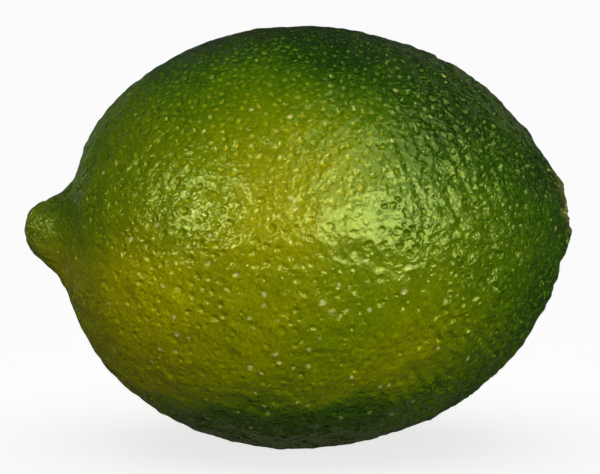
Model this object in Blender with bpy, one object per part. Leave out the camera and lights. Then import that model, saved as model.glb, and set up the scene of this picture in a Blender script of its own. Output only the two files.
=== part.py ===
"""A Persian lime lying on its side: the whole fruit, and the dry calyx on its stem end.

The fruit's long axis runs along X, with the nipple (stylar end) at -X and the stem end at +X. It rests on
z = 0 on a small flat spot, and the origin is at the middle of the bottom of the object's box.
"""

import math

import bmesh
import bpy
from mathutils import Matrix, Vector

MM = 0.001

# Body: two half-ellipsoids of one radius, joined at the widest section.
BODY_RADIUS = 25.65 * MM
STYLAR_REACH = 29.1 * MM
STEM_REACH = 31.9 * MM
AXIS_RISE = math.radians(1.7)

# Nipple: a blunt knob a little above the axis, in a shallow hollow that is deepest above it.
NIPPLE_HEIGHT = 3.95 * MM
NIPPLE_WIDTH = 4.05 * MM
NIPPLE_BLUNTNESS = 5.2
NIPPLE_LIFT = 2.2 * MM
HOLLOW_DEPTH = 0.7 * MM
HOLLOW_LEAN = 0.6
HOLLOW_RADIUS = 7.6 * MM
HOLLOW_SPREAD = 5.2 * MM

# Stem end: a low boss above the axis, with soft ribs running off it and a round pit for the calyx.
BOSS_HEIGHT = 1.35 * MM
BOSS_WIDTH = 5.2 * MM
BOSS_BLUNTNESS = 5.0
STEM_LIFT = 1.9 * MM
RIBS = 5
RIB_HEIGHT = 0.3 * MM
RIB_RADIUS = 8.4 * MM
RIB_SPREAD = 3.2 * MM
PIT_RADIUS = 3.4 * MM
PIT_FLOOR = 31.8 * MM
PIT_TILT = math.radians(8.0)
PIT_LIFT = 2.9 * MM

# How far from an end's tip the rings are still drawn off the axis.
LIFT_REACH = 11.5 * MM

# Calyx: five short sepals round a cut stem stub, seated in the pit.
SEPALS = 5
CALYX_RADIUS = 2.7 * MM
SEPAL_LENGTH = 0.35 * MM
CALYX_THICKNESS = 0.8 * MM
CALYX_EDGE = 0.2 * MM
CALYX_DOME = 0.15 * MM
STUB_RADIUS = 1.2 * MM
STUB_TAPER = 0.1 * MM
STUB_HEIGHT = 0.35 * MM
SEAT_GAP = 0.3 * MM

# Flat spot that the fruit rests on: how much of the round underside is missing.
FLAT_DEPTH = 0.35 * MM

# Mesh: the rings crowd towards the two ends, where the shape turns fastest.
SEGMENTS = 56
RINGS = 46
RING_CROWDING = 0.68
CALYX_SEGMENTS = 8 * SEPALS
PIT_SEGMENTS = 40

RIND_GREEN = (0.115, 0.165, 0.006, 1.0)
RIND_ROUGHNESS = 0.35
CALYX_BROWN = (0.19, 0.14, 0.06, 1.0)
CALYX_ROUGHNESS = 0.85


def clear_scene():
    for old in list(bpy.data.objects):
        bpy.data.objects.remove(old, do_unlink=True)


def skin(name, colour, roughness):
    material = bpy.data.materials.new(name)
    material.use_nodes = True
    shader = material.node_tree.nodes["Principled BSDF"]
    shader.inputs["Base Color"].default_value = colour
    shader.inputs["Roughness"].default_value = roughness
    shader.inputs["Metallic"].default_value = 0.0
    return material


def bell(distance, spread):
    return math.exp(-((distance / spread) ** 2))


def plateau(radius, width, bluntness):
    """1 in the middle, falling to 0 past width, more steeply the greater the bluntness."""
    return 1.0 / (1.0 + (radius / width) ** bluntness)


def lift(radius, height):
    """How far above the axis a ring's centre lies: all of height at the tip, none past LIFT_REACH."""
    t = min(radius / LIFT_REACH, 1.0)
    return height * (1.0 - t * t * (3.0 - 2.0 * t))


def nipple_relief(radius, angle):
    lean = 1.0 + HOLLOW_LEAN * math.sin(angle)
    hollow = HOLLOW_DEPTH * lean * bell(radius - HOLLOW_RADIUS, HOLLOW_SPREAD)
    return NIPPLE_HEIGHT * plateau(radius, NIPPLE_WIDTH, NIPPLE_BLUNTNESS) - hollow


def boss_relief(radius, angle):
    """The boss, with one rib straight up and a furrow straight down."""
    rib = math.cos(RIBS * (angle - math.pi / 2.0)) * bell(radius - RIB_RADIUS, RIB_SPREAD)
    return BOSS_HEIGHT * plateau(radius, BOSS_WIDTH, BOSS_BLUNTNESS) + RIB_HEIGHT * rib


def rind_point(radius, angle, axial):
    """The place on the rind at this radius and angle round the axis; axial runs from -1 to 1."""
    if axial < 0.0:
        x = STYLAR_REACH * axial - nipple_relief(radius, angle)
        centre = lift(radius, NIPPLE_LIFT)
    else:
        x = STEM_REACH * axial + boss_relief(radius, angle)
        centre = lift(radius, STEM_LIFT)
    return Vector((x, radius * math.cos(angle), centre + radius * math.sin(angle)))


def rind_ring(step):
    share = step / RINGS
    turn = 2.0 * math.pi * share
    polar = math.pi * (share - RING_CROWDING * math.sin(turn) / (2.0 * math.pi))
    radius = BODY_RADIUS * math.sin(polar)
    angles = [2.0 * math.pi * i / SEGMENTS for i in range(SEGMENTS)]
    return [rind_point(radius, angle, -math.cos(polar)) for angle in angles]


def skin_rings(rings, first_tip, last_tip):
    """A closed mesh through a stack of equal rings along +X, ended by a fan at each tip."""
    bm = bmesh.new()
    loops = [[bm.verts.new(point) for point in ring] for ring in rings]
    start = bm.verts.new(first_tip)
    end = bm.verts.new(last_tip)
    count = len(loops[0])
    for i in range(count):
        following = (i + 1) % count
        bm.faces.new((start, loops[0][following], loops[0][i]))
        bm.faces.new((end, loops[-1][i], loops[-1][following]))
        for lower, upper in zip(loops[:-1], loops[1:]):
            bm.faces.new((lower[i], lower[following], upper[following], upper[i]))
    bmesh.ops.recalc_face_normals(bm, faces=bm.faces)
    return bm


def rind_mesh():
    rings = [rind_ring(step) for step in range(1, RINGS)]
    return skin_rings(rings, rind_point(0.0, 0.0, -1.0), rind_point(0.0, 0.0, 1.0))


def calyx_ring(radius, height, sepal_length):
    """One lobed outline of the calyx, radius across and height above its underside."""
    ring = []
    for i in range(CALYX_SEGMENTS):
        angle = 2.0 * math.pi * i / CALYX_SEGMENTS
        reach = radius + sepal_length * math.cos(SEPALS * angle)
        ring.append(Vector((height, reach * math.cos(angle), reach * math.sin(angle))))
    return ring


def calyx_mesh():
    shoulder = CALYX_THICKNESS
    stub_foot = shoulder + CALYX_DOME
    stub_top = stub_foot + STUB_HEIGHT
    rings = [
        calyx_ring(CALYX_RADIUS - CALYX_EDGE, 0.0, SEPAL_LENGTH),
        calyx_ring(CALYX_RADIUS, CALYX_EDGE, SEPAL_LENGTH),
        calyx_ring(CALYX_RADIUS, shoulder - CALYX_EDGE, SEPAL_LENGTH),
        calyx_ring(CALYX_RADIUS - CALYX_EDGE, shoulder, SEPAL_LENGTH),
        calyx_ring(STUB_RADIUS, stub_foot, 0.0),
        calyx_ring(STUB_RADIUS - STUB_TAPER, stub_top, 0.0),
    ]
    return skin_rings(rings, Vector((0.0, 0.0, 0.0)), Vector((stub_top, 0.0, 0.0)))


def seat_frame():
    """Where the pit's floor lies: its middle, with +X pointing out of the pit."""
    return Matrix.Translation((PIT_FLOOR, 0.0, PIT_LIFT)) @ Matrix.Rotation(-PIT_TILT, 4, "Y")


def box_of(meshes):
    points = [vert.co for bm in meshes for vert in bm.verts]
    lowest = Vector([min(p[axis] for p in points) for axis in range(3)])
    highest = Vector([max(p[axis] for p in points) for axis in range(3)])
    return lowest, highest


def lay_on_side(meshes):
    """Tilt the axis, then put the box's middle over the origin with the flat spot's level at z = 0."""
    for bm in meshes:
        bm.transform(Matrix.Rotation(-AXIS_RISE, 4, "Y"))
    lowest, highest = box_of(meshes)
    middle = (lowest + highest) / 2.0
    move = Matrix.Translation((-middle.x, -middle.y, -lowest.z - FLAT_DEPTH))
    for bm in meshes:
        bm.transform(move)
    return move @ Matrix.Rotation(-AXIS_RISE, 4, "Y")


def cut_flat_spot(bm):
    everything = bm.verts[:] + bm.edges[:] + bm.faces[:]
    cut = bmesh.ops.bisect_plane(
        bm, geom=everything, plane_co=(0.0, 0.0, 0.0), plane_no=(0.0, 0.0, -1.0), clear_outer=True
    )
    rim = [item for item in cut["geom_cut"] if isinstance(item, bmesh.types.BMEdge)]
    bmesh.ops.edgeloop_fill(bm, edges=rim)


def add_object(name, bm, material):
    mesh = bpy.data.meshes.new(name)
    bm.to_mesh(mesh)
    bm.free()
    mesh.shade_smooth()
    mesh.set_sharp_from_angle(angle=math.radians(35.0))
    mesh.materials.append(material)
    made = bpy.data.objects.new(name, mesh)
    bpy.context.collection.objects.link(made)
    return made


def cut_pit(fruit, placed_seat):
    """Cut the calyx's round pit out of the boss with a hidden cylinder that stands on the pit's floor."""
    bm = bmesh.new()
    depth = 2.0 * PIT_RADIUS
    bmesh.ops.create_cone(
        bm, cap_ends=True, segments=PIT_SEGMENTS, radius1=PIT_RADIUS, radius2=PIT_RADIUS, depth=depth
    )
    upright = Matrix.Translation((depth / 2.0, 0.0, 0.0)) @ Matrix.Rotation(math.pi / 2.0, 4, "Y")
    bm.transform(placed_seat @ upright)
    cutter = add_object("pit_cutter", bm, fruit.data.materials[0])
    cutter.hide_render = True
    cutter.display_type = "WIRE"
    cut = fruit.modifiers.new("calyx pit", "BOOLEAN")
    cut.operation = "DIFFERENCE"
    cut.solver = "EXACT"
    cut.object = cutter


def build():
    clear_scene()
    rind = rind_mesh()
    calyx = calyx_mesh()
    seat = seat_frame()
    calyx.transform(seat @ Matrix.Translation((SEAT_GAP, 0.0, 0.0)))
    placing = lay_on_side([rind, calyx])
    cut_flat_spot(rind)
    fruit = add_object("fruit", rind, skin("rind", RIND_GREEN, RIND_ROUGHNESS))
    cut_pit(fruit, placing @ seat)
    add_object("calyx", calyx, skin("dry calyx", CALYX_BROWN, CALYX_ROUGHNESS))


build()
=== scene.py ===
"""The looks of a Persian lime on its side: pitted waxy rind, nipple, and dry calyx on the stem end."""

import math

import bpy
import numpy as np
from mathutils import Matrix, Quaternion, Vector
from mathutils.kdtree import KDTree


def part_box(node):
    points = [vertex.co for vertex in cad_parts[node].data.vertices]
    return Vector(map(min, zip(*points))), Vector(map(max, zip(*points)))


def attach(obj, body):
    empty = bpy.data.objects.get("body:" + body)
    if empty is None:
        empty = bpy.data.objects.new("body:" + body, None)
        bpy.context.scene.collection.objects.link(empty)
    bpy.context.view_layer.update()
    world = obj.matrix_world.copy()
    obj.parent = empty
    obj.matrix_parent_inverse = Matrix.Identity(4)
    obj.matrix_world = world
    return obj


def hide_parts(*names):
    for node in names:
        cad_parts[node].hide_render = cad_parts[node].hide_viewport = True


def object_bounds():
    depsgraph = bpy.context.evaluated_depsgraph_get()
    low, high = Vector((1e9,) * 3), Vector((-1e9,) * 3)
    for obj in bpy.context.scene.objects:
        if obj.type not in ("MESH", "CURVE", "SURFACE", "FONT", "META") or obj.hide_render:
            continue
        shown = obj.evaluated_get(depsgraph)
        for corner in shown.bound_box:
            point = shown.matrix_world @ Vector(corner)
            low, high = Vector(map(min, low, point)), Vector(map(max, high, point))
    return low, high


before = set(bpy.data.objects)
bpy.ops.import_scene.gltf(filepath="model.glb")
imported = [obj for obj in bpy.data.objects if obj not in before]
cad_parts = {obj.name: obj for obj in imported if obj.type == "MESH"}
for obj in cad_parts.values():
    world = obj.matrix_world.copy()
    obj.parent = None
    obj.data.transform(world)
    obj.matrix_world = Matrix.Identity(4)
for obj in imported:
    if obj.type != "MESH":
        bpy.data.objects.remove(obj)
cad_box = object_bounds()

MM = 0.001
SEED = 20

# The form of the rind, as the frame's solid has it.
BODY_RADIUS = 25.65 * MM
STYLAR_REACH = 29.1 * MM
STEM_REACH = 31.9 * MM
AXIS_RISE = math.radians(1.7)
NIPPLE_HEIGHT = 3.95 * MM
NIPPLE_WIDTH = 4.05 * MM
NIPPLE_BLUNTNESS = 5.2
NIPPLE_LIFT = 2.2 * MM
HOLLOW_DEPTH = 0.7 * MM
HOLLOW_LEAN = 0.6
HOLLOW_RADIUS = 7.6 * MM
HOLLOW_SPREAD = 5.2 * MM
BOSS_HEIGHT = 1.35 * MM
BOSS_WIDTH = 5.2 * MM
BOSS_BLUNTNESS = 5.0
STEM_LIFT = 1.9 * MM
RIBS = 5
RIB_HEIGHT = 0.3 * MM
RIB_RADIUS = 8.4 * MM
RIB_SPREAD = 3.2 * MM
SEAT_RADIUS = 3.4 * MM
SEAT_WALL = 0.5 * MM
SEAT_FLOOR = 31.8 * MM
SEAT_TILT = math.radians(8.0)
SEAT_LIFT = 2.9 * MM
LIFT_REACH = 11.5 * MM
FLAT_DEPTH = 0.35 * MM

# Rind mesh: cells along each edge of the cube that is blown up into the fruit, and one atlas tile per side.
CELLS = 330
CUBE_SIDES = 6
ATLAS_COLUMNS = 3
ATLAS_ROWS = 2
ATLAS_MARGIN = 0.01

# Random ripples: how many waves make up one, and the range of their lengths, in wavelengths.
RIPPLE_WAVES = 36
RIPPLE_LENGTHS = (0.7, 1.4)

# Oil glands: the spacing of the main ones, and of the small ones between them.
GLAND_SPACING = 1.02 * MM
SMALL_GLAND_SPACING = 0.68 * MM
SPACING_RANGE = (0.85, 1.2)
END_CROWDING = 0.52
END_REACH = 9.0 * MM
CANDIDATES = 90000

# How far the glands' outlines are bent out of round, and the wavelength of the bends.
BEND_DEPTH = 0.07 * MM
BEND_SPACING = 1.4 * MM

# How vigorous the main glands are: most are weak, and a small share is deep.
LEAST_VIGOUR = 0.14
VIGOUR_RANGE = 0.80
VIGOUR_RARITY = 2.6
DEEP_SHARE = 0.045
DEEP_VIGOUR = 1.3

# How the vigour changes towards the stem: where that starts along X, how far it takes, and the change.
STEM_SIDE_VIGOUR = (0.0, 15.0 * MM, 0.3)

# Where the glands of the nipple side are boldest, in mm, how far that reaches, and how much bolder they are.
BOLD_PLACE = (-10.5, -23.5, 2.5)
BOLD_REACH = 7.0 * MM
BOLD_GAIN = 0.9

# Pits, and the domes in them: the reaches of the pits are in mm, and a dome's is a share of its pit's.
PIT_DEPTH = 0.31 * MM
PIT_REACHES = (0.40, 0.60)
DOME_HEIGHT = 0.135 * MM
DOME_SHARE = 0.5

# How much shallower they are towards the tips and in the calm places.
END_SOFTENING = 0.45
CALM_SOFTENING = 0.4

# Pores, with reaches in mm, and where along the fruit they turn into beads.
PORE_DEPTH = 0.045 * MM
PORE_REACHES = (0.22, 0.36)
PORE_STRENGTHS = (0.2, 1.0)
BEAD_HEIGHT = 0.065 * MM
BEAD_START = 4.0 * MM
BEAD_BLEND = 12.0 * MM

# The pale dots that the glands and pores make in the skin's colour.
SPOT_REACH = 0.38 * MM
SPOT_STRENGTHS = (0.45, 1.0)
SPOT_GAIN = 1.5
PORE_SPOT_GAIN = 0.8

# How clearly the dots show low down, and how that changes upwards and towards the ends: the start and reach
# of each change in mm, and the change.
LOW_DOTS = 0.2
LOW_DOTS_STEM_GAIN = 0.35
LOW_DOTS_STEM_SIDE = (12.0, 8.0)
UPPER_DOTS = (-1.0, 9.0)
NIPPLE_SIDE_DOTS = (12.0, 8.0, -0.6)

# Glands with pale flecks, partly dry scars and partly painted glints: the share of them all over, and in one
# patch, whose place is in mm.
SCAR_AND_GLINT_SHARE = 0.018
SCAR_AND_GLINT_PATCH = (3.0, -22.0, -10.0)
SCAR_AND_GLINT_PATCH_REACH = 12.0 * MM
SCAR_AND_GLINT_PATCH_SHARE = 0.16

# Each is a pale fleck, partly a dry scar and partly a painted glint, with its reach in mm, cut to a crescent
# from one side, on a small wart.
FLECK_REACHES = (0.22, 0.50)
SCAR_AND_GLINT_STRENGTHS = (0.7, 1.3)
SCAR_AND_GLINT_GAIN = 1.5
CRESCENT_SHIFT = 0.35
CRESCENT_SHARE = 0.85
CRESCENT_STRENGTHS = (0.0, 1.2)
WART_HEIGHT = 0.15 * MM
WART_MARGIN = 0.06 * MM
WART_STRENGTHS = (0.5, 1.0)

# Swells of the skin, and lumps that are stronger where it is coarse: height and wavelength, in mm.
SWELLS = [(0.040, 9.0), (0.034, 4.2)]
LUMPS = [(0.026, 2.0), (0.008, 0.9)]
LUMPIEST = 1.5
END_LUMP_HEIGHT = 0.03 * MM
END_LUMP_SPACING = 2.0 * MM

# Furrows that run from end to end, closer together towards the tips, with heights in mm.
FURROW_STRETCH = 0.16
FURROW_SPACING = 2.2 * MM
FURROW_HEIGHT = 0.014
END_FURROW_HEIGHT = 0.03
FURROW_CORE = 1.0 * MM

# Wrinkles that lean round the stem half.
HOOP_STRETCH = 0.4
HOOP_LEAN = 0.45
WRINKLE_SPACING = 1.5 * MM
WRINKLE_HEIGHT = 0.048 * MM
WRINKLE_START = 2.0 * MM
WRINKLE_BLEND = 12.0 * MM

# Pleats in the rind round the calyx, with the circle that they are counted on, and the corky skin there.
PLEAT_RADIUS = 4.3 * MM
PLEAT_SPREAD = 1.5 * MM
PLEAT_SPACING = 0.95 * MM
PLEAT_HEIGHT = 0.11 * MM
PLEAT_STRETCH = 0.12
PLEAT_CIRCLE = 2.4 * MM
CORK_RADIUS = 4.6 * MM
CORK_BLEND = 1.3 * MM

# Smooth places on the front: where they are and how far they reach, in mm, and how calm they are.
CALM_PLACES = [
    ((6.5, -24.0, 2.5), 6.5, 1.0),
    ((12.5, -22.5, -4.5), 5.0, 1.0),
    ((-10.5, -23.5, 2.5), 6.5, 0.4),
]

# Where the fine relief is stronger, downwards or towards an end: start and reach in mm, and the change.
COARSE_BELOW = (13.0, 6.0, 0.9)
COARSE_NIPPLE_SIDE = (10.0, 8.0, 0.4)
COARSE_STEM_SIDE = (11.0, 9.0, 0.7)
COARSEST = 2.0
CALM_FINENESS = 0.6
FINE_BUMP_GAIN = 1.15

# Ripeness: its broad trend over X and Z, in mm, the most it can be, and how green the back is.
RIPE_TOP = 0.95
RIPE_MIDDLE = (-7.4, -8.3)
RIPE_REACH = (44.6, 35.5)
RIPEST = 1.2
FRONT_BLEND = 12.0
BACK_GREENING = 0.30
BACK_BLEND = 22.0

# Where the front is riper or greener than that: the patch's place along X and Z, its spread, and the change.
RIPE_PATCHES = [
    ((-2.0, 4.0), 6.5, 0.22),
    ((3.0, -9.0), 7.0, -0.10),
    ((-21.0, -13.0), 8.5, 0.24),
    ((-26.0, 2.5), 4.0, -0.12),
    ((-29.0, -1.5), 4.0, 0.34),
    ((-29.5, 7.5), 2.8, -0.30),
    ((-16.0, -2.0), 5.0, 0.10),
    ((-18.5, 17.0), 6.0, 0.17),
    ((18.0, -15.0), 4.5, -0.12),
    ((-8.0, -23.0), 9.0, -0.16),
    ((13.0, 5.0), 7.0, -0.14),
    ((-4.0, 16.0), 8.5, 0.28),
    ((-14.0, 4.0), 5.0, -0.08),
    ((5.0, 24.0), 6.0, -0.16),
    ((18.0, 14.0), 6.0, -0.10),
    ((6.0, -24.0), 8.0, -0.16),
    ((8.0, -15.0), 7.0, 0.17),
    ((-18.0, -4.0), 6.0, 0.34),
    ((20.0, -4.0), 7.5, 0.12),
    ((6.0, 13.5), 6.0, 0.20),
    ((28.0, -7.0), 4.0, -0.12),
    ((9.0, 20.0), 5.0, -0.05),
    ((-10.0, 22.0), 7.0, -0.14),
    ((10.0, -17.0), 4.5, -0.07),
]

# Random change of ripeness: strength, and wavelength in mm.
RIPE_RIPPLES = [(0.035, 14.0), (0.02, 5.0)]

# The dark band underneath: the level of its wavering edge, in mm, which rises towards the stem.
BAND_LEVEL = -17.9
BAND_RISE = 0.10
BAND_RISE_END = 20.0
BAND_WAVER = 0.7
BAND_WAVER_SPACING = 6.0 * MM
BAND_BLEND = 4.0
BAND_CHANGE = 0.50

# How the band fades towards the ends: start and reach in mm, and the change.
BAND_STEM_SIDE = (6.0, 9.0, -0.7)
BAND_NIPPLE_SIDE = (12.0, 7.0, -0.5)


def bell(distance, spread):
    return np.exp(-((distance / spread) ** 2))


def plateau(radius, width, bluntness):
    """1 in the middle, falling to 0 past width, more steeply the greater the bluntness."""
    return 1.0 / (1.0 + (radius / width) ** bluntness)


def smooth(t):
    t = np.clip(t, 0.0, 1.0)
    return t * t * (3.0 - 2.0 * t)


def changing(distance, start, reach, change):
    """1 up to the start, then smoothly to 1 + change over the reach."""
    return 1.0 + change * smooth((distance - start) / reach)


def distance_to(points, place):
    """How far each point lies from a place that is given in mm."""
    return np.linalg.norm(points - np.array(place) * MM, axis=1)


def add_object(name, data):
    made = bpy.data.objects.new(name, data)
    bpy.context.collection.objects.link(made)
    return made


def rind_form(directions):
    """Places on the smooth rind for points of the unit sphere, in the fruit's own frame."""
    axial = directions[:, 0]
    radius = BODY_RADIUS * np.hypot(directions[:, 1], directions[:, 2])
    angle = np.arctan2(directions[:, 2], directions[:, 1])
    share = 1.0 - smooth(radius / LIFT_REACH)
    lean = 1.0 + HOLLOW_LEAN * np.sin(angle)
    hollow = HOLLOW_DEPTH * lean * bell(radius - HOLLOW_RADIUS, HOLLOW_SPREAD)
    nipple = NIPPLE_HEIGHT * plateau(radius, NIPPLE_WIDTH, NIPPLE_BLUNTNESS) - hollow
    rib = np.cos(RIBS * (angle - math.pi / 2.0)) * bell(radius - RIB_RADIUS, RIB_SPREAD)
    boss = BOSS_HEIGHT * plateau(radius, BOSS_WIDTH, BOSS_BLUNTNESS) + RIB_HEIGHT * rib
    stylar = axial < 0.0
    x = np.where(stylar, STYLAR_REACH * axial - nipple, STEM_REACH * axial + boss)
    lifted = np.where(stylar, NIPPLE_LIFT, STEM_LIFT) * share
    return np.stack([x, radius * np.cos(angle), lifted + radius * np.sin(angle)], axis=1)


def cube_sphere(cells):
    """Points of the unit sphere, the quads between them, and each quad's corners in the atlas."""
    steps = np.arange(cells + 1)
    first, second = np.meshgrid(steps, steps, indexing="ij")
    corner = np.arange(cells * (cells + 1)).reshape(cells, cells + 1)[:, :-1].ravel()
    patch = np.stack([corner, corner + cells + 1, corner + cells + 2, corner + 1], axis=1)
    share = np.stack([first.ravel(), second.ravel()], axis=1) / cells
    inside = ATLAS_MARGIN + (1.0 - 2.0 * ATLAS_MARGIN) * share
    lattice, quads, places = [], [], []
    for side in range(CUBE_SIDES):
        axis, high = side % 3, side < 3
        across, up = ((axis + 1) % 3, (axis + 2) % 3) if high else ((axis + 2) % 3, (axis + 1) % 3)
        points = np.zeros((first.size, 3), dtype=np.int64)
        points[:, axis] = cells if high else 0
        points[:, across] = first.ravel()
        points[:, up] = second.ravel()
        quads.append(patch + side * first.size)
        lattice.append(points)
        tile = np.array([side % ATLAS_COLUMNS, side // ATLAS_COLUMNS])
        places.append(((tile + inside) / [ATLAS_COLUMNS, ATLAS_ROWS])[patch.ravel()])
    lattice = np.concatenate(lattice)
    width = cells + 1
    keys = (lattice[:, 0] * width + lattice[:, 1]) * width + lattice[:, 2]
    _, where, welded = np.unique(keys, return_index=True, return_inverse=True)
    cube = np.tan((lattice[where] * 2.0 / cells - 1.0) * math.pi / 4.0)
    directions = cube / np.linalg.norm(cube, axis=1, keepdims=True)
    return directions, welded[np.concatenate(quads)], np.concatenate(places)


def make_mesh(name, points, faces):
    mesh = bpy.data.meshes.new(name)
    mesh.vertices.add(len(points))
    mesh.vertices.foreach_set("co", points.astype(np.float32).ravel())
    mesh.loops.add(faces.size)
    mesh.loops.foreach_set("vertex_index", faces.astype(np.int32).ravel())
    mesh.polygons.add(len(faces))
    mesh.polygons.foreach_set("loop_start", np.arange(len(faces), dtype=np.int32) * faces.shape[1])
    mesh.update(calc_edges=True)
    mesh.validate()
    mesh.shade_smooth()
    return mesh


def vertex_normals(mesh):
    normals = np.empty(len(mesh.vertices) * 3, dtype=np.float32)
    mesh.vertices.foreach_get("normal", normals)
    return normals.reshape(-1, 3).astype(float)


def set_attribute(mesh, name, values):
    attribute = mesh.attributes.new(name, "FLOAT", "POINT")
    attribute.data.foreach_set("value", values.astype(np.float32))


def ripple(points, wavelength, rng):
    """A smooth random field of unit strength with bumps about one wavelength apart."""
    headings = rng.normal(size=(RIPPLE_WAVES, 3))
    headings /= np.linalg.norm(headings, axis=1, keepdims=True)
    lengths = wavelength * rng.uniform(*RIPPLE_LENGTHS, size=(RIPPLE_WAVES, 1))
    phases = rng.uniform(0.0, 2.0 * math.pi, size=RIPPLE_WAVES)
    total = np.zeros(len(points))
    for heading, phase in zip(2.0 * math.pi * headings / lengths, phases):
        total += np.cos(points @ heading + phase)
    return total * math.sqrt(2.0 / RIPPLE_WAVES)


def index_points(points):
    tree = KDTree(len(points))
    for i, point in enumerate(points):
        tree.insert(point, i)
    tree.balance()
    return tree


def scatter(points, spacing, taken, taken_gap):
    """Pick points in their given order, each at least its own spacing from the earlier ones."""
    tree = index_points(points)
    free = np.ones(len(points), dtype=bool)
    for place, gap in zip(taken, taken_gap):
        for found in tree.find_range(place, gap):
            free[found[1]] = False
    chosen = []
    for i in range(len(points)):
        if not free[i]:
            continue
        chosen.append(i)
        for found in tree.find_range(points[i], spacing[i]):
            free[found[1]] = False
    return np.array(chosen)


def bowl(t):
    """1 in the middle, falling smoothly to 0 at t = 1."""
    return (1.0 - t * t) ** 2


def stamp(tree, count, centres, reaches, amounts):
    """A field over the mesh's points with a small round bowl at each centre."""
    field = np.zeros(count)
    for centre, reach, amount in zip(centres, reaches, amounts):
        found = tree.find_range(centre, reach)
        if not found:
            continue
        index = np.fromiter((hit[1] for hit in found), dtype=np.int64, count=len(found))
        distance = np.fromiter((hit[2] for hit in found), dtype=float, count=len(found))
        field[index] = np.maximum(field[index], amount * bowl(distance / reach))
    return field


def end_distance(points):
    """How far each point of the rind lies from the nearer tip."""
    stylar_tip = np.array([-STYLAR_REACH - NIPPLE_HEIGHT, 0.0, NIPPLE_LIFT])
    stem_tip = np.array([STEM_REACH + BOSS_HEIGHT, 0.0, SEAT_LIFT])
    to_stylar = np.linalg.norm(points - stylar_tip, axis=1)
    to_stem = np.linalg.norm(points - stem_tip, axis=1)
    return np.minimum(to_stylar, to_stem)


def laid_down(form):
    """The move from the fruit's own frame to the frame's solid, by its nipple tip and its flat spot."""
    lowest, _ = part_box("fruit")
    tilt = Matrix.Rotation(-AXIS_RISE, 4, "Y")
    tilted = form @ np.array(tilt.to_3x3()).T
    move = Vector((lowest.x - tilted[:, 0].min(), 0.0, lowest.z - tilted[:, 2].min() - FLAT_DEPTH))
    return Matrix.Translation(move) @ tilt


def moved(points, matrix):
    return points @ np.array(matrix.to_3x3()).T + np.array(matrix.translation)


def seat_in_boss(form):
    """Press the shallow seat of the calyx into the boss."""
    across = np.hypot(form[:, 1], form[:, 2] - SEAT_LIFT)
    floor = SEAT_FLOOR - (form[:, 2] - SEAT_LIFT) * math.tan(SEAT_TILT)
    pressed = smooth((SEAT_RADIUS - across) / SEAT_WALL)
    pressed[form[:, 0] < 0.0] = 0.0
    form[:, 0] += (floor - form[:, 0]) * pressed
    return form


def round_the_seat(form):
    """How far each point of the stem half lies from the seat's axis, and its angle round it."""
    across = np.hypot(form[:, 1], form[:, 2] - SEAT_LIFT)
    across[form[:, 0] < 0.0] = BODY_RADIUS
    return across, np.arctan2(form[:, 2] - SEAT_LIFT, form[:, 1])


def pleat_space(across, turn):
    """Places whose ripples run straight out from the seat."""
    return np.column_stack([PLEAT_STRETCH * across, PLEAT_CIRCLE * np.cos(turn), PLEAT_CIRCLE * np.sin(turn)])


def furrow_space(form):
    """The rind's places with its length squeezed, so that ripples made from them run from end to end."""
    across = form[:, 1:] / np.linalg.norm(form[:, 1:], axis=1, keepdims=True).clip(FURROW_CORE)
    return np.column_stack([FURROW_STRETCH * form[:, 0], BODY_RADIUS * across])


def hoop_space(form):
    """The rind's places with its girth squeezed, so that ripples made from them run round the fruit."""
    leaning = form[:, 0] + HOOP_LEAN * form[:, 2]
    return np.column_stack([leaning, HOOP_STRETCH * form[:, 1:]])


def plant_glands(points, rng):
    """Main oil glands all over, finer towards the tips, and small ones in the gaps between them."""
    order = rng.permutation(len(points))[:CANDIDATES]
    places = points[order]
    near_end = 1.0 - smooth(end_distance(places) / END_REACH)
    finer = 1.0 - END_CROWDING * near_end
    jitter = rng.uniform(*SPACING_RANGE, size=len(places))
    spacing = GLAND_SPACING * finer * jitter
    main = scatter(places, spacing, [], [])
    gaps = SMALL_GLAND_SPACING * finer[main]
    small = scatter(places, SMALL_GLAND_SPACING * finer * jitter, places[main], gaps)
    return (places[main], finer[main]), (places[small], finer[small])


def gland_vigour(main, rng):
    """How deep each main gland is pitted: most are weak, a few are deep, and one area is bolder."""
    vigour = LEAST_VIGOUR + VIGOUR_RANGE * rng.uniform(0.0, 1.0, size=len(main)) ** VIGOUR_RARITY
    vigour[rng.uniform(size=len(main)) < DEEP_SHARE] = DEEP_VIGOUR
    vigour *= changing(main[:, 0], *STEM_SIDE_VIGOUR)
    vigour *= 1.0 + BOLD_GAIN * bell(distance_to(main, BOLD_PLACE), BOLD_REACH)
    return vigour


def scar_and_glint_chance(places):
    """How likely a gland is to bear a pale fleck, partly a dry scar and partly a painted glint: here and
    there, and more in one low patch.
    """
    return SCAR_AND_GLINT_SHARE + SCAR_AND_GLINT_PATCH_SHARE * bell(distance_to(places, SCAR_AND_GLINT_PATCH), SCAR_AND_GLINT_PATCH_REACH)


def scar_and_glint_marks(tree, count, main, rng):
    """Fields of the pale flecks, partly dry scars and partly painted glints, each cut to a crescent from one
    side, and of the warts under them.
    """
    flecked = main[rng.uniform(size=len(main)) < scar_and_glint_chance(main)]
    reach = rng.uniform(*FLECK_REACHES, size=len(flecked)) * MM
    scars_and_glints = stamp(tree, count, flecked, reach, rng.uniform(*SCAR_AND_GLINT_STRENGTHS, size=len(flecked)))
    crescent_cut = flecked + rng.normal(size=flecked.shape) * reach[:, None] * CRESCENT_SHIFT
    strengths = rng.uniform(*CRESCENT_STRENGTHS, size=len(flecked))
    scars_and_glints -= stamp(tree, count, crescent_cut, reach * CRESCENT_SHARE, strengths)
    strengths = rng.uniform(*WART_STRENGTHS, size=len(flecked))
    warts = stamp(tree, count, flecked, reach + WART_MARGIN, strengths)
    return np.clip(SCAR_AND_GLINT_GAIN * scars_and_glints, 0.0, 1.0), warts


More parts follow.
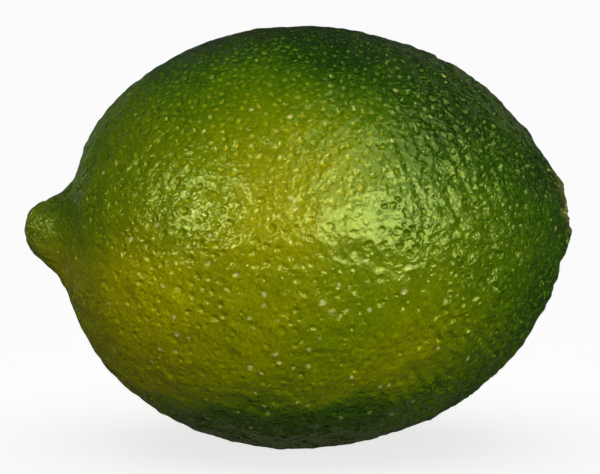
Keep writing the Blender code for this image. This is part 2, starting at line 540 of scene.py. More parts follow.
def gland_marks(form, rng):
    """Fields over the rind's points, from 0 up, for each kind of mark that the glands leave."""
    directions = rng.normal(size=(CANDIDATES, 3))
    directions /= np.linalg.norm(directions, axis=1, keepdims=True)
    (main, main_size), (small, small_size) = plant_glands(rind_form(directions), rng)
    bent = np.stack([ripple(form, BEND_SPACING, rng) for axis in range(3)], axis=1)
    tree = index_points(form + BEND_DEPTH * bent)
    count = len(form)

    vigour = gland_vigour(main, rng)
    reach = main_size * rng.uniform(*PIT_REACHES, size=len(main)) * MM
    pits = stamp(tree, count, main, reach, vigour)
    domed = vigour * rng.uniform(0.0, 1.0, size=len(main))
    domes = stamp(tree, count, main, reach * DOME_SHARE, domed)
    small_reach = small_size * rng.uniform(*PORE_REACHES, size=len(small)) * MM
    pores = stamp(tree, count, small, small_reach, rng.uniform(*PORE_STRENGTHS, size=len(small)))
    spot_strengths = rng.uniform(*SPOT_STRENGTHS, size=len(main))
    spots = stamp(tree, count, main, SPOT_REACH * main_size, spot_strengths)
    scars_and_glints, warts = scar_and_glint_marks(tree, count, main, rng)
    return {"pit": pits, "dome": domes, "pore": pores, "spot": spots, "scar_and_glint": scars_and_glints, "wart": warts}


def calmness(form):
    """Up to 1 in the smooth places of the front, where the glands hardly dent the skin, and 0 elsewhere."""
    calm = np.zeros(len(form))
    for place, reach, strength in CALM_PLACES:
        calm = np.maximum(calm, strength * bell(distance_to(form, place), reach * MM))
    return calm


def coarseness(form):
    """How strong the fine relief is: less in the calm places, more underneath and towards both ends."""
    x, z = form[:, 0] / MM, form[:, 2] / MM
    below = changing(-z, *COARSE_BELOW)
    nipple_side = changing(-x, *COARSE_NIPPLE_SIDE)
    stem_side = changing(x, *COARSE_STEM_SIDE)
    return (1.0 - CALM_FINENESS * calmness(form)) * np.minimum(below * nipple_side * stem_side, COARSEST)


def dot_strength(form):
    """How clearly the glands show through the skin: best on the upper side, least low and near the nipple."""
    x, z = form[:, 0] / MM, form[:, 2] / MM
    stem_start, stem_reach = LOW_DOTS_STEM_SIDE
    upper_start, upper_reach = UPPER_DOTS
    low = LOW_DOTS + LOW_DOTS_STEM_GAIN * smooth((x - stem_start) / stem_reach)
    upper = smooth((z - upper_start) / upper_reach)
    return (low + (1.0 - low) * upper) * changing(-x, *NIPPLE_SIDE_DOTS)


def ripeness(form, rng):
    """0 where the rind is deep green, 1 where it has turned yellow: broadly warm low on the nipple side. A
    band underneath is also made darker.
    """
    x, y, z = form.T / MM
    ripe = RIPE_TOP
    for along, middle, reach in zip((x, z), RIPE_MIDDLE, RIPE_REACH):
        ripe = ripe - ((along - middle) / reach) ** 2
    front = smooth(0.5 - y / FRONT_BLEND)
    for place, spread, change in RIPE_PATCHES:
        ripe += front * change * bell(np.hypot(x - place[0], z - place[1]), spread)
    # A band underneath is made darker.
    edge = BAND_LEVEL + BAND_RISE * np.clip(x, 0.0, BAND_RISE_END)
    edge += BAND_WAVER * ripple(form, BAND_WAVER_SPACING, rng)
    fading = changing(x, *BAND_STEM_SIDE) * changing(-x, *BAND_NIPPLE_SIDE)
    ripe -= BAND_CHANGE * fading * smooth((edge - z) / BAND_BLEND + 0.5)
    ripe -= BACK_GREENING * smooth(y / BACK_BLEND)
    ripe += sum(strength * ripple(form, wavelength * MM, rng) for strength, wavelength in RIPE_RIPPLES)
    return np.clip(ripe, 0.0, RIPEST)


def rind_relief(form, marks, coarse, near_end, rng):
    """How far each point of the skin stands out from the smooth form, in metres."""
    across, turn = round_the_seat(form)
    pleats = ripple(pleat_space(across, turn), PLEAT_SPACING, rng)
    relief = PLEAT_HEIGHT * bell(across - PLEAT_RADIUS, PLEAT_SPREAD) * pleats
    for height, wavelength in SWELLS:
        relief += height * MM * ripple(form, wavelength * MM, rng)
    lumpy = np.minimum(coarse, LUMPIEST)
    for height, wavelength in LUMPS:
        relief += height * MM * lumpy * ripple(form, wavelength * MM, rng)
    furrowed = (FURROW_HEIGHT + END_FURROW_HEIGHT * near_end) * MM
    relief += furrowed * ripple(furrow_space(form), FURROW_SPACING, rng)
    relief += END_LUMP_HEIGHT * near_end * ripple(form, END_LUMP_SPACING, rng)
    wrinkled = lumpy * smooth((form[:, 0] - WRINKLE_START) / WRINKLE_BLEND)
    relief += WRINKLE_HEIGHT * wrinkled * ripple(hoop_space(form), WRINKLE_SPACING, rng)

    dents = PIT_DEPTH * marks["pit"] - DOME_HEIGHT * marks["dome"]
    dents *= 1.0 - END_SOFTENING * near_end
    dents *= 1.0 - CALM_SOFTENING * calmness(form)
    relief -= dents
    beaded = smooth((form[:, 0] - BEAD_START) / BEAD_BLEND)
    beads = (BEAD_HEIGHT * beaded - PORE_DEPTH * (1.0 - beaded)) * marks["pore"]
    relief += WART_HEIGHT * marks["wart"] + beads
    return relief


def build_rind():
    """The rind with its relief, and the move that puts the fruit's own frame in place."""
    directions, quads, places = cube_sphere(CELLS)
    form = seat_in_boss(rind_form(directions))
    mesh = make_mesh("rind", form, quads)
    normals = vertex_normals(mesh)
    rng = np.random.default_rng(SEED)
    marks = gland_marks(form, rng)
    near_end = 1.0 - smooth(end_distance(form) / END_REACH)
    coarse = coarseness(form)
    relief = rind_relief(form, marks, coarse, near_end, rng)

    placing = laid_down(form)
    points = moved(form + normals * relief[:, None], placing)
    points[:, 2] = np.maximum(points[:, 2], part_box("fruit")[0].z)
    mesh.vertices.foreach_set("co", points.astype(np.float32).ravel())
    mesh.update()

    dots = np.clip(np.maximum(SPOT_GAIN * marks["spot"], PORE_SPOT_GAIN * marks["pore"]), 0.0, 1.0)
    across, _ = round_the_seat(form)
    set_attribute(mesh, "gland", dot_strength(form) * dots)
    set_attribute(mesh, "pit", marks["pit"])
    set_attribute(mesh, "scar_and_glint", marks["scar_and_glint"])
    set_attribute(mesh, "ripe", ripeness(form, rng))
    set_attribute(mesh, "tip", near_end)
    set_attribute(mesh, "coarse", FINE_BUMP_GAIN * coarse)
    set_attribute(mesh, "cork", smooth((CORK_RADIUS - across) / CORK_BLEND))
    layer = mesh.uv_layers.new(name="OFBake")
    layer.data.foreach_set("uv", places.astype(np.float32).ravel())
    return add_object("rind", mesh), placing


# The range that most values of a noise lie in.
NOISE_RANGE = (0.3, 0.7)


class Nodes:
    """Short calls for building a material's node tree."""

    def __init__(self, name):
        self.material = bpy.data.materials.new(name)
        self.material.use_nodes = True
        self.tree = self.material.node_tree
        self.shader = self.tree.nodes["Principled BSDF"]

    def add(self, kind, **inputs):
        node = self.tree.nodes.new(kind)
        for name, value in inputs.items():
            self.feed(node.inputs[name.replace("_", " ")], value)
        return node

    def feed(self, socket, value):
        if isinstance(value, bpy.types.NodeSocket):
            self.tree.links.new(value, socket)
        else:
            socket.default_value = value

    def attribute(self, name):
        node = self.add("ShaderNodeAttribute")
        node.attribute_name = name
        return node.outputs["Fac"]

    def place(self):
        return self.add("ShaderNodeTexCoord").outputs["Object"]

    def noise(self, size, detail=2.0, roughness=0.5):
        """Noise with blobs of about this size, in metres, fixed to the object."""
        inputs = dict(Vector=self.place(), Scale=1.0 / size, Detail=detail, Roughness=roughness)
        return self.add("ShaderNodeTexNoise", **inputs).outputs["Fac"]

    def cells(self, size):
        """Distance to the nearest of many scattered points, in cell sizes."""
        return self.add("ShaderNodeTexVoronoi", Vector=self.place(), Scale=1.0 / size).outputs["Distance"]

    def math(self, operation, first, second):
        node = self.add("ShaderNodeMath")
        node.operation = operation
        for socket, value in zip(node.inputs, (first, second)):
            self.feed(socket, value)
        return node.outputs[0]

    def total(self, *values):
        result = values[0]
        for value in values[1:]:
            result = self.math("ADD", result, value)
        return result

    def fit(self, value, low, high, new_low=0.0, new_high=1.0, curve="LINEAR"):
        node = self.add("ShaderNodeMapRange")
        node.interpolation_type = curve
        names = ("Value", "From Min", "From Max", "To Min", "To Max")
        for name, given in zip(names, (value, low, high, new_low, new_high)):
            self.feed(node.inputs[name], given)
        return node.outputs["Result"]

    def vary(self, noise, new_low, new_high):
        """Spread the values that a noise mostly has over a new range."""
        return self.fit(noise, *NOISE_RANGE, new_low, new_high)

    def spots(self, size, inner, outer, amount):
        """A round spot in each cell: the full amount inside, and 0 outside; both edges are in cell sizes."""
        return self.fit(self.cells(size), inner, outer, amount, 0.0, "SMOOTHSTEP")

    def mix(self, share, first, second, blend="MIX"):
        node = self.tree.nodes.new("ShaderNodeMix")
        node.data_type = "RGBA"
        node.blend_type = blend
        sockets = {socket.identifier: socket for socket in node.inputs}
        self.feed(sockets["Factor_Float"], share)
        self.feed(sockets["A_Color"], first)
        self.feed(sockets["B_Color"], second)
        return next(socket for socket in node.outputs if socket.identifier == "Result_Color")

    def ramp(self, value, stops):
        node = self.add("ShaderNodeValToRGB", Fac=value)
        ramp = node.color_ramp
        while len(ramp.elements) < len(stops):
            ramp.elements.new(0.5)
        for element, (position, colour) in zip(ramp.elements, stops):
            element.position = position
            element.color = (*colour, 1.0)
        return node.outputs["Color"]

    def bump(self, height):
        """Bump from a height in mm."""
        return self.add("ShaderNodeBump", Height=height, Distance=MM, Strength=1.0).outputs["Normal"]

    def finish(self, **values):
        for name, value in values.items():
            self.feed(self.shader.inputs[name.replace("_", " ")], value)
        return self.material


# Fine relief of the rind: the size of a cell, the edges of the spot in it, and the spot's height in mm.
DIMPLES = (1.15 * MM, 0.0, 0.34, -0.075)
SMALL_DIMPLES = (0.62 * MM, 0.0, 0.4, -0.035)
TIP_BEADS = (0.42 * MM, 0.0, 0.5, 0.070)

# Soft swellings and a satin grain: the size of the blobs, and their height in mm.
SWELL_SIZE = 0.75 * MM
SWELL_HEIGHT = 0.085
SATIN_SIZE = 0.28 * MM
SATIN_HEIGHT = 0.040

# Colours of the skin and of the dots in it, from deep green to yellow.
SKIN_COLOURS = [
    (0.0, (0.006, 0.022, 0.0007)),
    (0.21, (0.016, 0.051, 0.0004)),
    (0.42, (0.038, 0.080, 0.0002)),
    (0.63, (0.082, 0.114, 0.0001)),
    (0.83, (0.137, 0.144, 0.0001)),
    (1.0, (0.181, 0.177, 0.0001)),
]
DOT_COLOURS = [
    (0.0, (0.031, 0.064, 0.006)),
    (0.21, (0.073, 0.111, 0.006)),
    (0.42, (0.143, 0.160, 0.004)),
    (0.63, (0.198, 0.186, 0.002)),
    (0.83, (0.230, 0.200, 0.001)),
]
MOTTLE_SIZE = 1.6 * MM
MOTTLE_CHANGE = 0.045

# Dark grain in the skin: its size, the part of the noise that shows, and how strong it is.
GRAIN_SIZE = 0.3 * MM
GRAIN_RANGE = (0.35, 0.65)
GRAIN_STRENGTH = 0.52
GRAIN_SHADE = (0.40, 0.46, 0.40, 1.0)

# The tips are paler, with beads, most where the skin is ripe; the beads' size, edges and strength.
TIP_RIPENESS = (0.15, 0.5)
GREEN_TIP_STRENGTH = 0.2
TIP_STRENGTH = 0.35
TIP_PALE = (0.110, 0.122, 0.008, 1.0)
BEAD_SPOTS = (0.42 * MM, 0.08, 0.40, 0.9)
BEAD_PALE = (0.330, 0.320, 0.100, 1.0)

CORK_STRENGTH = 0.75
CORK_DARK = (0.045, 0.042, 0.008, 1.0)
CORK_PALE = (0.105, 0.090, 0.030, 1.0)
# Pale flecks on the skin, partly dry scars and partly painted glints: how strongly they show, and their
# colour.
SCAR_AND_GLINT_STRENGTH = 0.75
SCAR_AND_GLINT_PALE = (0.29, 0.30, 0.085, 1.0)

# Waxy gloss: its roughness, and how much smoother the pits and flecks are.
GLOSS_SIZE = 0.5 * MM
RIND_ROUGHNESS = (0.16, 0.26)
PIT_SMOOTHNESS = 0.06
SCAR_AND_GLINT_SMOOTHNESS = 0.08


def fine_relief(n):
    """Fine relief in mm: small sharp dimples, soft swellings between the glands, a satin grain, and beads."""
    dimples = n.spots(*DIMPLES)
    small_dimples = n.spots(*SMALL_DIMPLES)
    swell = n.math("MULTIPLY", n.noise(SWELL_SIZE, detail=1.0), SWELL_HEIGHT)
    satin = n.math("MULTIPLY", n.noise(SATIN_SIZE), SATIN_HEIGHT)
    beads = n.math("MULTIPLY", n.spots(*TIP_BEADS), n.attribute("tip"))
    return n.math("MULTIPLY", n.total(dimples, small_dimples, swell, satin, beads), n.attribute("coarse"))


def rind_material():
    n = Nodes("rind")
    mottle = n.noise(MOTTLE_SIZE, detail=3.0)
    ripe = n.math("ADD", n.attribute("ripe"), n.vary(mottle, -MOTTLE_CHANGE, MOTTLE_CHANGE))
    ripe = n.fit(ripe, 0.0, RIPEST)
    skin = n.ramp(ripe, SKIN_COLOURS)
    skin = n.mix(n.attribute("gland"), skin, n.ramp(ripe, DOT_COLOURS))
    grain = n.fit(n.noise(GRAIN_SIZE), *GRAIN_RANGE, 0.0, GRAIN_STRENGTH)
    skin = n.mix(grain, skin, GRAIN_SHADE, "MULTIPLY")
    tip = n.math("MULTIPLY", n.attribute("tip"), n.fit(ripe, *TIP_RIPENESS, GREEN_TIP_STRENGTH, 1.0))
    skin = n.mix(n.math("MULTIPLY", tip, TIP_STRENGTH), skin, TIP_PALE)
    skin = n.mix(n.math("MULTIPLY", n.spots(*BEAD_SPOTS), tip), skin, BEAD_PALE)
    cork = n.math("MULTIPLY", n.attribute("cork"), CORK_STRENGTH)
    skin = n.mix(cork, skin, n.mix(mottle, CORK_DARK, CORK_PALE))
    # Pale flecks, partly dry scars and partly painted glints.
    skin = n.mix(n.math("MULTIPLY", n.attribute("scar_and_glint"), SCAR_AND_GLINT_STRENGTH), skin, SCAR_AND_GLINT_PALE)
    rough = n.vary(n.noise(GLOSS_SIZE), *RIND_ROUGHNESS)
    rough = n.math("SUBTRACT", rough, n.math("MULTIPLY", n.attribute("pit"), PIT_SMOOTHNESS))
    rough = n.math("SUBTRACT", rough, n.math("MULTIPLY", n.attribute("scar_and_glint"), SCAR_AND_GLINT_SMOOTHNESS))
    return n.finish(
        Base_Color=skin,
        Roughness=rough,
        Normal=n.bump(fine_relief(n)),
        IOR=1.8,
        Specular_Tint=(0.82, 1.0, 0.24, 1.0),
        Subsurface_Weight=0.55,
        Subsurface_Radius=(1.0, 0.9, 0.3),
        Subsurface_Scale=0.5 * MM,
    )


# Calyx: sepals round a cut stem stub, with heights from the floor of its seat.
SEPALS = 5
SEPAL_TIP = 3.1 * MM
SEPAL_VALLEY = 2.15 * MM
SEPAL_TOP = 0.78 * MM
SEPAL_EDGE = 0.14 * MM
STUB_RADIUS = 1.15 * MM
STUB_TOP = 1.05 * MM
CALYX_TURNS = 300
CALYX_RINGS = 56

# How uneven the sepals are: the ranges of their length and curl, and how pointed they are.
SEPAL_LENGTHS = (0.86, 1.0)
SEPAL_CURLS = (-0.15, 1.0)
SEPAL_POINT = 1.15

# Their ragged edge, and the circle that it is counted on, in mm.
RAGGED_DEPTH = 0.045 * MM
RAGGED_SPACING = 0.5 * MM
RIM_CIRCLE = 2.4

# Fibres that run out from the stub, with the circle that they are counted on, and lumps, with heights in mm.
FIBRE_STRETCH = 0.2
FIBRE_CIRCLE = 2.2 * MM
FIBRE_SPACING = 0.32 * MM
FIBRE_HEIGHT = 0.028
LUMP_SPACING = 0.45 * MM
SEPAL_LUMP_HEIGHT = 0.03
STUB_LUMP_HEIGHT = 0.035

# Rings round the axis of the stub: the radius of each, its spread, and its height, in mm.
STUB_RIM = (0.92, 0.15, 0.13)
STUB_HOLLOW = (0.0, 0.5, -0.28)
SEPAL_GROOVE = (1.38, 0.13, -0.10)

# The stub's wall, the blade of a sepal and its curled tip: where each starts and how far it takes, in mm.
STUB_WALL = (0.10, 0.17)
BLADE = (1.25, 0.5)
CURL = (1.8, 1.1)
CURL_BEND = 1.6
CURL_HEIGHT = 0.24

# Across a sepal, in shares of its half width, with heights in mm: its middle rib, and its fall to the sides.
SEPAL_RIB = (0.0, 0.22, 0.11)
SIDE_FALL = (0.6, 0.4)
SIDE_FALL_DEPTH = 0.13

# How far the middle of the underside lies below the floor of the seat.
UNDERSIDE_DEPTH = 0.05 * MM

# Where its colours lie: the cut face, a green ring and the pith, in mm, and the dry edge, in shares of the
# way out from the middle.
CUT_BLEND = 0.12
GREEN_RING = (1.45, 0.28)
PITH_RADIUS = 0.22
EDGE_SHARE = (0.86, 0.14)

# Colours of the sepals and of the stub's cut face, from the dark to the pale fibres.
SEPAL_COLOURS = [
    (0.25, (0.020, 0.015, 0.005)),
    (0.5, (0.050, 0.038, 0.013)),
    (0.8, (0.120, 0.094, 0.038)),
]
CUT_COLOURS = [
    (0.25, (0.038, 0.028, 0.010)),
    (0.55, (0.115, 0.090, 0.038)),
    (0.8, (0.220, 0.180, 0.090)),
]
SPECK_SIZE = 0.22 * MM
FIBRE_CONTRAST = 0.2
GREEN_STRENGTH = 0.6
CALYX_GREEN = (0.085, 0.100, 0.022, 1.0)
EDGE_STRENGTH = 0.7
EDGE_BROWN = (0.035, 0.022, 0.008, 1.0)
CALYX_BUMP_HEIGHT = 0.06
CALYX_ROUGHNESS = (0.62, 0.86)


def calyx_material():
    """Dry brown fibres, a paler cut face on the stub, and a dark brittle edge."""
    n = Nodes("dry calyx")
    speck = n.noise(SPECK_SIZE, detail=4.0, roughness=0.65)
    fibre = n.math("ADD", n.fit(n.attribute("fibre"), 0.0, 1.0, -FIBRE_CONTRAST, FIBRE_CONTRAST), speck)
    skin = n.mix(n.attribute("cut"), n.ramp(fibre, SEPAL_COLOURS), n.ramp(fibre, CUT_COLOURS))
    skin = n.mix(n.math("MULTIPLY", n.attribute("green"), GREEN_STRENGTH), skin, CALYX_GREEN)
    skin = n.mix(n.math("MULTIPLY", n.attribute("edge"), EDGE_STRENGTH), skin, EDGE_BROWN)
    relief = n.math("MULTIPLY", fibre, CALYX_BUMP_HEIGHT)
    return n.finish(Base_Color=skin, Roughness=n.vary(speck, *CALYX_ROUGHNESS), Normal=n.bump(relief))


def ridge(distance, middle, spread, height):
    return height * bell(distance - middle, spread)


def calyx_looks(r, share, fibre, stub):
    """What the calyx's material needs to know of its points: r is their radius in mm."""
    green_radius, green_spread = GREEN_RING
    edge_start, edge_reach = EDGE_SHARE
    return {
        "fibre": 0.5 + 0.5 * np.clip(fibre, -1.0, 1.0),
        "cut": smooth((STUB_RADIUS / MM - r) / CUT_BLEND),
        "green": bell(r - green_radius, green_spread) * (1.0 - stub),
        "edge": smooth((share - edge_start) / edge_reach) + bell(r, PITH_RADIUS),
    }


def calyx_surface(rng):
    """The calyx's upper and under side over its seat, ring by ring: places, heights, and looks.

    The inner half of the rings makes the stub and the outer half the sepals.
    """
    turn = np.tile(2.0 * math.pi * np.arange(CALYX_TURNS) / CALYX_TURNS, (CALYX_RINGS, 1))
    share = np.tile(np.arange(1, CALYX_RINGS + 1)[:, None] / CALYX_RINGS, (1, CALYX_TURNS))
    circle = np.stack([np.cos(turn), np.sin(turn)], axis=2)

    sector = turn * SEPALS / (2.0 * math.pi)
    which = np.round(sector).astype(int) % SEPALS
    aside = 2.0 * np.abs(sector - np.round(sector))
    tip = SEPAL_TIP * rng.uniform(*SEPAL_LENGTHS, size=SEPALS)[which]
    curl = rng.uniform(*SEPAL_CURLS, size=SEPALS)[which]
    outline = SEPAL_VALLEY + (tip - SEPAL_VALLEY) * (1.0 - aside) ** SEPAL_POINT
    rim = np.dstack([circle[:1] * RIM_CIRCLE * MM, np.zeros((1, CALYX_TURNS, 1))]).reshape(-1, 3)
    outline = outline + RAGGED_DEPTH * ripple(rim, RAGGED_SPACING, rng)

    inner = STUB_RADIUS * share * 2.0
    outer = STUB_RADIUS + (outline - STUB_RADIUS) * (2.0 * share - 1.0)
    radius = np.where(share < 0.5, inner, outer)
    flat = radius[..., None] * circle
    rays = np.dstack([FIBRE_STRETCH * radius, FIBRE_CIRCLE * circle]).reshape(-1, 3)
    spread = np.dstack([flat, np.zeros(radius.shape)]).reshape(-1, 3)
    fibre = ripple(rays, FIBRE_SPACING, rng).reshape(radius.shape)
    lump = ripple(spread, LUMP_SPACING, rng).reshape(radius.shape)

    r = radius / MM
    blade_start, blade_reach = BLADE
    curl_start, curl_reach = CURL
    side_start, side_reach = SIDE_FALL
    wall_offset, wall_width = STUB_WALL
    face = STUB_TOP / MM + ridge(r, *STUB_RIM) + ridge(r, *STUB_HOLLOW) + STUB_LUMP_HEIGHT * lump
    blade = smooth((r - blade_start) / blade_reach)
    side_fall = SIDE_FALL_DEPTH * smooth((aside - side_start) / side_reach)
    sepal = SEPAL_TOP / MM + ridge(r, *SEPAL_GROOVE)
    sepal += blade * (ridge(aside, *SEPAL_RIB) - side_fall)
    sepal += CURL_HEIGHT * curl * np.clip((r - curl_start) / curl_reach, 0.0, 1.0) ** CURL_BEND
    sepal += SEPAL_LUMP_HEIGHT * lump + FIBRE_HEIGHT * fibre * blade
    stub = smooth((STUB_RADIUS / MM + wall_offset - r) / wall_width)
    upper = MM * (sepal + (face - sepal) * stub)
    lifted = smooth((share - 0.5) / 0.5)
    under = lifted * (upper[-1:] - SEPAL_EDGE) - UNDERSIDE_DEPTH * (1.0 - lifted)
    return flat, upper, np.minimum(under, upper - SEPAL_EDGE), calyx_looks(r, share, fibre, stub)


def calyx_faces():
    """Quads between the rings of the upper and under side and along the edge, and a fan on each middle."""
    count = CALYX_RINGS * CALYX_TURNS
    last = count - CALYX_TURNS
    faces = []
    for i in range(CALYX_TURNS):
        after = (i + 1) % CALYX_TURNS
        for ring in range(CALYX_RINGS - 1):
            a, b = ring * CALYX_TURNS, (ring + 1) * CALYX_TURNS
            faces.append((a + i, b + i, b + after, a + after))
            faces.append((count + a + after, count + b + after, count + b + i, count + a + i))
        faces.append((last + i, count + last + i, count + last + after, last + after))
        faces.append((2 * count, i, after))
        faces.append((2 * count + 1, count + after, count + i))
    return faces


def build_calyx(placing):
    """Five uneven sepals round the cut stub, closed underneath, set in the seat."""
    flat, upper, under, looks = calyx_surface(np.random.default_rng(SEED + 1))
    top = np.dstack([upper, flat]).reshape(-1, 3)
    bottom = np.dstack([under, flat]).reshape(-1, 3)
    top_middle = [upper[0].mean(), 0.0, 0.0]
    bottom_middle = [under[0].mean(), 0.0, 0.0]
    points = np.concatenate([top, bottom, [top_middle, bottom_middle]])

    seat = Matrix.Translation((SEAT_FLOOR, 0.0, SEAT_LIFT)) @ Matrix.Rotation(-SEAT_TILT, 4, "Y")
    mesh = bpy.data.meshes.new("calyx")
    mesh.from_pydata(moved(points, placing @ seat).tolist(), [], calyx_faces())
    mesh.validate()
    mesh.shade_smooth()
    for name, values in looks.items():
        middle = float(values[0].mean())
        set_attribute(mesh, name, np.concatenate([values.ravel(), values.ravel(), [middle, middle]]))
    return add_object("calyx_detail", mesh)


# The studio: everything in it looks at the middle of the fruit.
FOCUS = (cad_box[0] + cad_box[1]) / 2.0
SOFTBOX_DISTANCE = 0.9
FULL_SPREAD = 180.0
WHITE = (1.0, 1.0, 1.0)
REFLECTOR_COLOUR = (0.85, 1.0, 0.45)

# Each softbox: its azimuth and elevation in degrees, width and height in metres, the radiance of its middle,
# and what else it has. Spread and roll are in degrees, and one without shine shows in no reflection.
SOFTBOXES = [
    ("key softbox", (31.0, 13.6), (1.06, 0.50), 2.8, dict(spread=100.0, roll=-7.0)),
    ("key softbox core", (29.0, 14.4), (0.84, 0.36), 4.0, dict(spread=100.0, roll=-7.0)),
    ("upper key softbox", (40.0, 47.5), (0.96, 0.52), 2.0, dict(spread=80.0)),
    ("key wash", (29.5, 23.0), (0.90, 0.90), 6.1, dict(shine=False)),
    ("fill softbox", (-42.0, 17.5), (0.44, 0.23), 9.4, dict(spread=100.0, roll=15.0)),
    ("fill wash", (-44.0, 20.5), (0.50, 0.50), 7.5, dict(shine=False)),
    ("left back softbox", (-138.0, 6.0), (0.7, 0.7), 6.0, dict(shine=False)),
    ("left back glow", (-160.0, 22.0), (0.4, 0.8), 0.05, dict()),
    ("left rim strip", (-150.0, 4.0), (0.10, 0.5), 0.55, dict(colour=REFLECTOR_COLOUR)),
    ("right back softbox", (138.0, 6.0), (0.7, 0.7), 6.0, dict(shine=False)),
    ("right back glow", (160.0, 22.0), (0.4, 0.8), 0.05, dict()),
    ("right rim strip", (150.0, 24.0), (0.10, 0.5), 0.65, dict(colour=REFLECTOR_COLOUR)),
    ("low reflector", (180.0, -40.0), (0.9, 0.08), 0.60, dict(colour=REFLECTOR_COLOUR)),
    ("lowest reflector", (180.0, -75.0), (0.9, 0.08), 0.48, dict(colour=REFLECTOR_COLOUR)),
]

# A sun for the stand alone, and a faint light from all round.
SUN_STRENGTH = 1.0
SUN_ANGLE = math.radians(80.0)
WORLD_COLOUR = (1.0, 0.98, 0.90, 1.0)
WORLD_STRENGTH = 0.03


def heading(azimuth, elevation):
    """The direction from the fruit to a place; azimuth 0 is in front of it, at -Y, and 90 at +X."""
    a, e = math.radians(azimuth), math.radians(elevation)
    return Vector((math.sin(a) * math.cos(e), -math.cos(a) * math.cos(e), math.sin(e)))


def collection_of(name, members):
    made = bpy.data.collections.new(name)
    for member in members:
        made.objects.link(member)
    return made


def softbox(name, direction, size, radiance, lit, shine=True, spread=FULL_SPREAD, roll=0.0, colour=WHITE):
    """A softbox aimed at the fruit, which lights only the objects of one collection.

    A smaller spread, in degrees, makes it fainter towards its edges; radiance is that of its middle.
    """
    width, height = size
    lamp = bpy.data.lights.new(name, "AREA")
    lamp.shape = "ELLIPSE"
    lamp.size = width
    lamp.size_y = height
    lamp.color = colour
    lamp.energy = radiance * width * height * math.pi * math.pi / 4.0
    if spread < FULL_SPREAD:
        half = math.radians(spread / 2.0)
        lamp.spread = 2.0 * half
        lamp.energy *= (math.tan(half) - half) / math.tan(half)
    light = add_object(name, lamp)
    away = heading(*direction)
    turned = Quaternion((0.0, 0.0, 1.0), math.radians(roll))
    light.location = FOCUS + away * SOFTBOX_DISTANCE
    light.rotation_mode = "QUATERNION"
    light.rotation_quaternion = away.to_track_quat("Z", "Y") @ turned
    light.visible_camera = False
    light.visible_glossy = shine
    light.light_linking.receiver_collection = lit


def studio(fruit_parts, stand):
    lit = collection_of("lit by the softboxes", fruit_parts)
    for name, direction, size, radiance, extras in SOFTBOXES:
        softbox(name, direction, size, radiance, lit, **extras)

    sun = bpy.data.lights.new("overhead light", "SUN")
    sun.energy = SUN_STRENGTH
    sun.angle = SUN_ANGLE
    overhead = add_object("overhead light", sun)
    overhead.light_linking.receiver_collection = collection_of("lit from above", [stand])

    world = bpy.data.worlds.new("studio")
    world.use_nodes = True
    background = world.node_tree.nodes["Background"]
    background.inputs["Color"].default_value = WORLD_COLOUR
    background.inputs["Strength"].default_value = WORLD_STRENGTH
    bpy.context.scene.world = world


# The stand: a pale flat floor that sweeps up into a round wall, far behind the fruit on every side.
FLOOR_RADIUS = 1.2
SWEEP_RADIUS = 0.6
WALL_HEIGHT = 2.4
STAND_SEGMENTS = 96
SWEEP_STEPS = 12

# Its paper takes light, and so a soft shadow, only near the fruit: fully up to the core, and not past the
# reach. Everywhere it also glows, less near the fruit.
SHADOW_CORE = 0.05
SHADOW_REACH = 0.25
NEAR_WHITENESS = 0.55
NEAR_GLOW = 0.785
FAR_GLOW = 0.96


def stand_profile():
    turns = [math.radians(90.0 * i / SWEEP_STEPS) for i in range(SWEEP_STEPS + 1)]
    out = [FLOOR_RADIUS + SWEEP_RADIUS * math.sin(turn) for turn in turns]
    up = [SWEEP_RADIUS * (1.0 - math.cos(turn)) for turn in turns]
    return [(SHADOW_REACH, 0.0), *zip(out, up), (FLOOR_RADIUS + SWEEP_RADIUS, WALL_HEIGHT)]


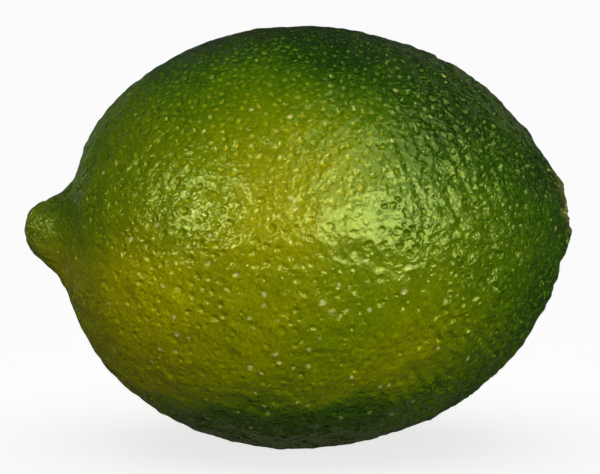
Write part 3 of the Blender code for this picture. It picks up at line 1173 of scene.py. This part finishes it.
def stand_material():
    """White paper that glows a little, so that it stays pale, and takes a soft shadow under the fruit."""
    n = Nodes("pale paper")
    away = n.add("ShaderNodeVectorMath", Vector=n.place())
    away.operation = "LENGTH"
    near = n.fit(away.outputs["Value"], SHADOW_CORE, SHADOW_REACH, 1.0, 0.0, "SMOOTHSTEP")
    whiteness = n.fit(near, 0.0, 1.0, 0.0, NEAR_WHITENESS)
    return n.finish(
        Base_Color=n.mix(whiteness, (0.0, 0.0, 0.0, 1.0), (1.0, 1.0, 1.0, 1.0)),
        Roughness=1.0,
        Specular_IOR_Level=0.0,
        Emission_Color=(1.0, 1.0, 1.0, 1.0),
        Emission_Strength=n.fit(near, 0.0, 1.0, FAR_GLOW, NEAR_GLOW),
    )


def build_stand():
    profile = stand_profile()
    points = []
    for radius, height in profile:
        for i in range(STAND_SEGMENTS):
            turn = 2.0 * math.pi * i / STAND_SEGMENTS
            points.append((radius * math.cos(turn), radius * math.sin(turn), height))
    faces = [tuple(range(STAND_SEGMENTS))]
    for ring in range(len(profile) - 1):
        low, high = ring * STAND_SEGMENTS, (ring + 1) * STAND_SEGMENTS
        for i in range(STAND_SEGMENTS):
            following = (i + 1) % STAND_SEGMENTS
            faces.append((low + i, high + i, high + following, low + following))
    mesh = bpy.data.meshes.new("stand")
    mesh.from_pydata(points, [], faces)
    mesh.shade_smooth()
    mesh.materials.append(stand_material())
    made = add_object("stand", mesh)
    made.visible_diffuse = False
    made.visible_glossy = False
    made.visible_shadow = False
    return made


# The camera: its angle above level, its distance from what it looks at, and how far that is from the focus.
CAMERA_ELEVATION = 6.0
CAMERA_DISTANCE = 0.3048
AIM_SHIFT = Vector((0.00020, 0.0, -0.00012))
LENS = 150.0
SENSOR = 36.0


def add_camera():
    lens = bpy.data.cameras.new("camera")
    lens.lens = LENS
    lens.sensor_width = SENSOR
    made = add_object("camera", lens)
    away = heading(0.0, CAMERA_ELEVATION)
    made.location = FOCUS + AIM_SHIFT + away * CAMERA_DISTANCE
    made.rotation_mode = "QUATERNION"
    made.rotation_quaternion = away.to_track_quat("Z", "Y")
    bpy.context.scene.camera = made


rind, placing = build_rind()
rind.data.materials.append(rind_material())
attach(rind, "root")
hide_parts("fruit")
calyx = build_calyx(placing)
calyx.data.materials.append(calyx_material())
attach(calyx, "root")
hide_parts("calyx")
stand = build_stand()
studio([rind, calyx], stand)
add_camera()
bpy.context.scene.view_settings.view_transform = "Standard"
